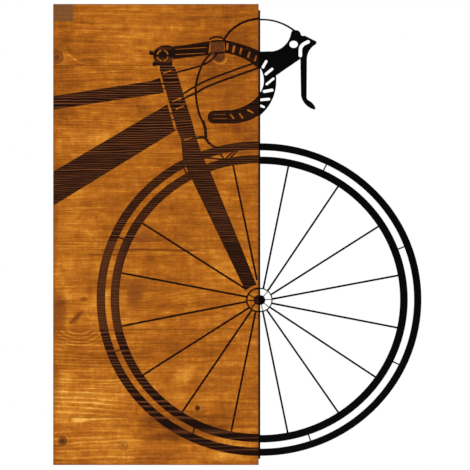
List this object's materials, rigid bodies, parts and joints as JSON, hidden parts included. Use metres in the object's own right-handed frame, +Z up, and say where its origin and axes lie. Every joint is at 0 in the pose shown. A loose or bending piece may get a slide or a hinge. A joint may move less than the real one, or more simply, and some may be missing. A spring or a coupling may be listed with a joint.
{
  "type": "bicycle wall panel",
  "caption": "Wall panel of a road bike: engraved stained-pine board on the left, folded black sheet-steel wheel and handlebar on the right.",
  "frame": {"origin": "centre of the board's back face", "axes": "+X to the panel's right as seen from the front, +Z up, the panel faces -Y and its back is towards +Y"},
  "size_m": [0.4553, 0.024, 0.57],
  "materials": {
    "stained_pine": "walnut-stained satin pine, charred where engraved",
    "black_powder_coat": "satin black powder coat on sheet steel",
    "zinc_plate": "zinc-plated steel",
    "rubber": "matte black rubber"
  },
  "bodies": {
    "panel": {"lamella_1": "stained_pine", "lamella_2": "stained_pine", "lamella_3": "stained_pine", "lamella_4": "stained_pine", "lamella_5": "stained_pine", "lamella_6": "stained_pine", "steel_art": "black_powder_coat", "flange_screw_1": "zinc_plate", "flange_screw_2": "zinc_plate", "flange_screw_3": "zinc_plate", "flange_screw_4": "zinc_plate", "flange_screw_5": "zinc_plate", "hanger_plate_left": "zinc_plate", "hanger_plate_right": "zinc_plate", "hanger_screw_left_1": "zinc_plate", "hanger_screw_left_2": "zinc_plate", "hanger_screw_right_1": "zinc_plate", "hanger_screw_right_2": "zinc_plate", "bumper_top_left": "rubber", "bumper_top_right": "rubber", "bumper_low_left": "rubber", "bumper_low_right": "rubber"},
    "ring_left": {"hanger_ring_left": "zinc_plate"},
    "ring_right": {"hanger_ring_right": "zinc_plate"}
  },
  "joints": [
    {"name": "ring_left_hinge", "type": "hinge", "parent": "panel", "child": "ring_left", "pos_m": [-0.08, 0.00288, 0.2], "axis": [1, 0, 0], "range_deg": [0, 180]},
    {"name": "ring_right_hinge", "type": "hinge", "parent": "panel", "child": "ring_right", "pos_m": [0.08, 0.00288, 0.2], "axis": [1, 0, 0], "range_deg": [0, 180]}
  ]
}
